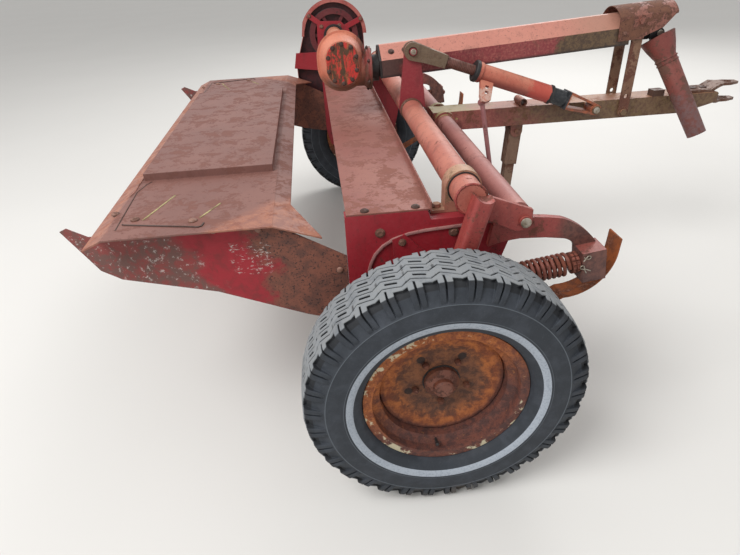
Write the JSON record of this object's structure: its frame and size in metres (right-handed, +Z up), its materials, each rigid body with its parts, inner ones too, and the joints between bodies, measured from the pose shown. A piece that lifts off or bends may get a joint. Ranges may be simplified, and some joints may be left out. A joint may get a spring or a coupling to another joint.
{
  "type": "towed hay crimper",
  "caption": "Towed hay crimper: ribbed crimping rolls between end plates on a wheeled axle, with belt drive, driveline beam, hinged drawbar with screw jack, and a rear deck.",
  "frame": {"origin": "on the ground, under the middle of the whole machine's box, on its centre plane", "axes": "+X forward to the hitch, +Y to the machine's left, +Z up"},
  "size_m": [2.367, 2.37, 1.0902],
  "materials": {
    "faded_red_tube": "faded, chalky red paint with rust stains",
    "red_paint": "weathered red enamel",
    "rusted_sheet": "thin red paint rusted through to brown",
    "mossy_paint": "red paint grown over with moss and rust",
    "rust": "heavy orange-brown rust",
    "dark_iron": "dark brown forged iron",
    "gear_case": "faded red casting with oil and moss",
    "roll_steel": "worn, lightly rusted steel",
    "black_paint": "dull black",
    "shaft_steel": "dull bright steel",
    "belt_rubber": "matt black rubber",
    "tyre_rubber": "black rubber, greyed by dust"
  },
  "bodies": {
    "frame": {"axle_tube": "faded_red_tube", "belt_guard": "red_paint", "cross_rail": "red_paint", "cross_shaft_tube": "faded_red_tube", "drive_belt": "belt_rubber", "end_plate_left": "red_paint", "end_plate_right": "red_paint", "front_cover": "rusted_sheet", "gooseneck_left": "faded_red_tube", "gooseneck_right": "faded_red_tube", "guard_bracket": "red_paint", "hinge_bars": "red_paint", "lift_post": "red_paint", "rear_deck": "rusted_sheet", "roll_bearings": "dark_iron", "roll_springs": "dark_iron", "side_wing_left": "rusted_sheet", "side_wing_right": "rusted_sheet", "skid_shoes": "rusted_sheet", "tube_clamps": "mossy_paint", "wheel_arm_left": "red_paint", "wheel_arm_right": "red_paint"},
    "wheel_right": {"tyre_right": "tyre_rubber", "wheel_rim_right": "rust", "wheel_hub_right": "rust"},
    "wheel_left": {"tyre_left": "tyre_rubber", "wheel_rim_left": "rust", "wheel_hub_left": "rust"},
    "drive_sheave": {"drive_sheave": "dark_iron"},
    "upper_roll": {"upper_roll": "roll_steel"},
    "lower_roll": {"lower_roll": "roll_steel"},
    "drawbar": {"draw_tube": "faded_red_tube", "draw_beam": "mossy_paint", "hitch_clevis": "rusted_sheet"},
    "jack_body": {"jack_tube": "red_paint", "jack_handle": "rust"},
    "jack_screw": {"jack_screw": "dark_iron"},
    "parking_stand": {"parking_stand": "mossy_paint"},
    "driveline": {"gearbox": "gear_case", "driveline_beam": "red_paint", "driveline_hood": "red_paint", "joint_yoke": "black_paint"},
    "straps": {"beam_strap": "mossy_paint"},
    "pto_shaft": {"drive_shaft": "shaft_steel", "shaft_shield": "faded_red_tube"}
  },
  "joints": [
    {"name": "wheel_right_spin", "type": "hinge", "parent": "frame", "child": "wheel_right", "pos_m": [-0.25851, -1.095, 0.355], "axis": [0, 1, 0], "continuous": true},
    {"name": "wheel_left_spin", "type": "hinge", "parent": "frame", "child": "wheel_left", "pos_m": [-0.25851, 1.095, 0.355], "axis": [0, 1, 0], "continuous": true},
    {"name": "sheave_spin", "type": "hinge", "parent": "frame", "child": "drive_sheave", "pos_m": [-0.38851, 0.917, 0.92], "axis": [0, 1, 0], "continuous": true},
    {"name": "upper_roll_spin", "type": "hinge", "parent": "frame", "child": "upper_roll", "pos_m": [-0.28851, 0, 0.582], "axis": [0, 1, 0], "continuous": true},
    {"name": "lower_roll_spin", "type": "hinge", "parent": "frame", "child": "lower_roll", "pos_m": [-0.22351, 0, 0.396], "axis": [0, 1, 0], "continuous": true},
    {"name": "drawbar_tilt", "type": "hinge", "parent": "frame", "child": "drawbar", "pos_m": [-0.02651, 0, 0.714], "axis": [0, -1, 0], "range_deg": [-8, 10]},
    {"name": "jack_swing", "type": "hinge", "parent": "drawbar", "child": "jack_body", "pos_m": [0.53849, -0.104, 0.738], "axis": [0, -1, 0], "range_deg": [-3.19, 2.61]},
    {"name": "jack_screw_slide", "type": "slide", "parent": "jack_body", "child": "jack_screw", "axis": [-0.9427, 0, 0.3336], "range_m": [-0.03827, 0.03082]},
    {"name": "stand_swing", "type": "hinge", "parent": "drawbar", "child": "parking_stand", "pos_m": [0.27349, 0, 0.648], "axis": [0, -1, 0], "range_deg": [0, 82]},
    {"name": "driveline_tilt", "type": "hinge", "parent": "frame", "child": "driveline", "pos_m": [-0.38851, 0, 0.92], "axis": [0, -1, 0], "range_deg": [-5.63, 6.96]},
    {"name": "strap_swing", "type": "hinge", "parent": "driveline", "child": "straps", "pos_m": [0.69149, 0, 1.03], "axis": [0, -1, 0], "range_deg": [-4.44, 3.61]},
    {"name": "pto_swing", "type": "hinge", "parent": "driveline", "child": "pto_shaft", "pos_m": [0.79149, 0, 0.978], "axis": [0, -1, 0], "range_deg": [0, 35]}
  ],
  "couplings": [
    {"joint": "upper_roll_spin", "follows": "sheave_spin", "ratio": 1.3478},
    {"joint": "lower_roll_spin", "follows": "sheave_spin", "ratio": -1.3478},
    {"joint": "jack_swing", "follows": "drawbar_tilt", "ratio": -0.2893},
    {"joint": "jack_screw_slide", "follows": "drawbar_tilt", "m_per_rad": -0.21357},
    {"joint": "driveline_tilt", "follows": "drawbar_tilt", "ratio": 0.6657},
    {"joint": "strap_swing", "follows": "drawbar_tilt", "ratio": -0.4136}
  ]
}
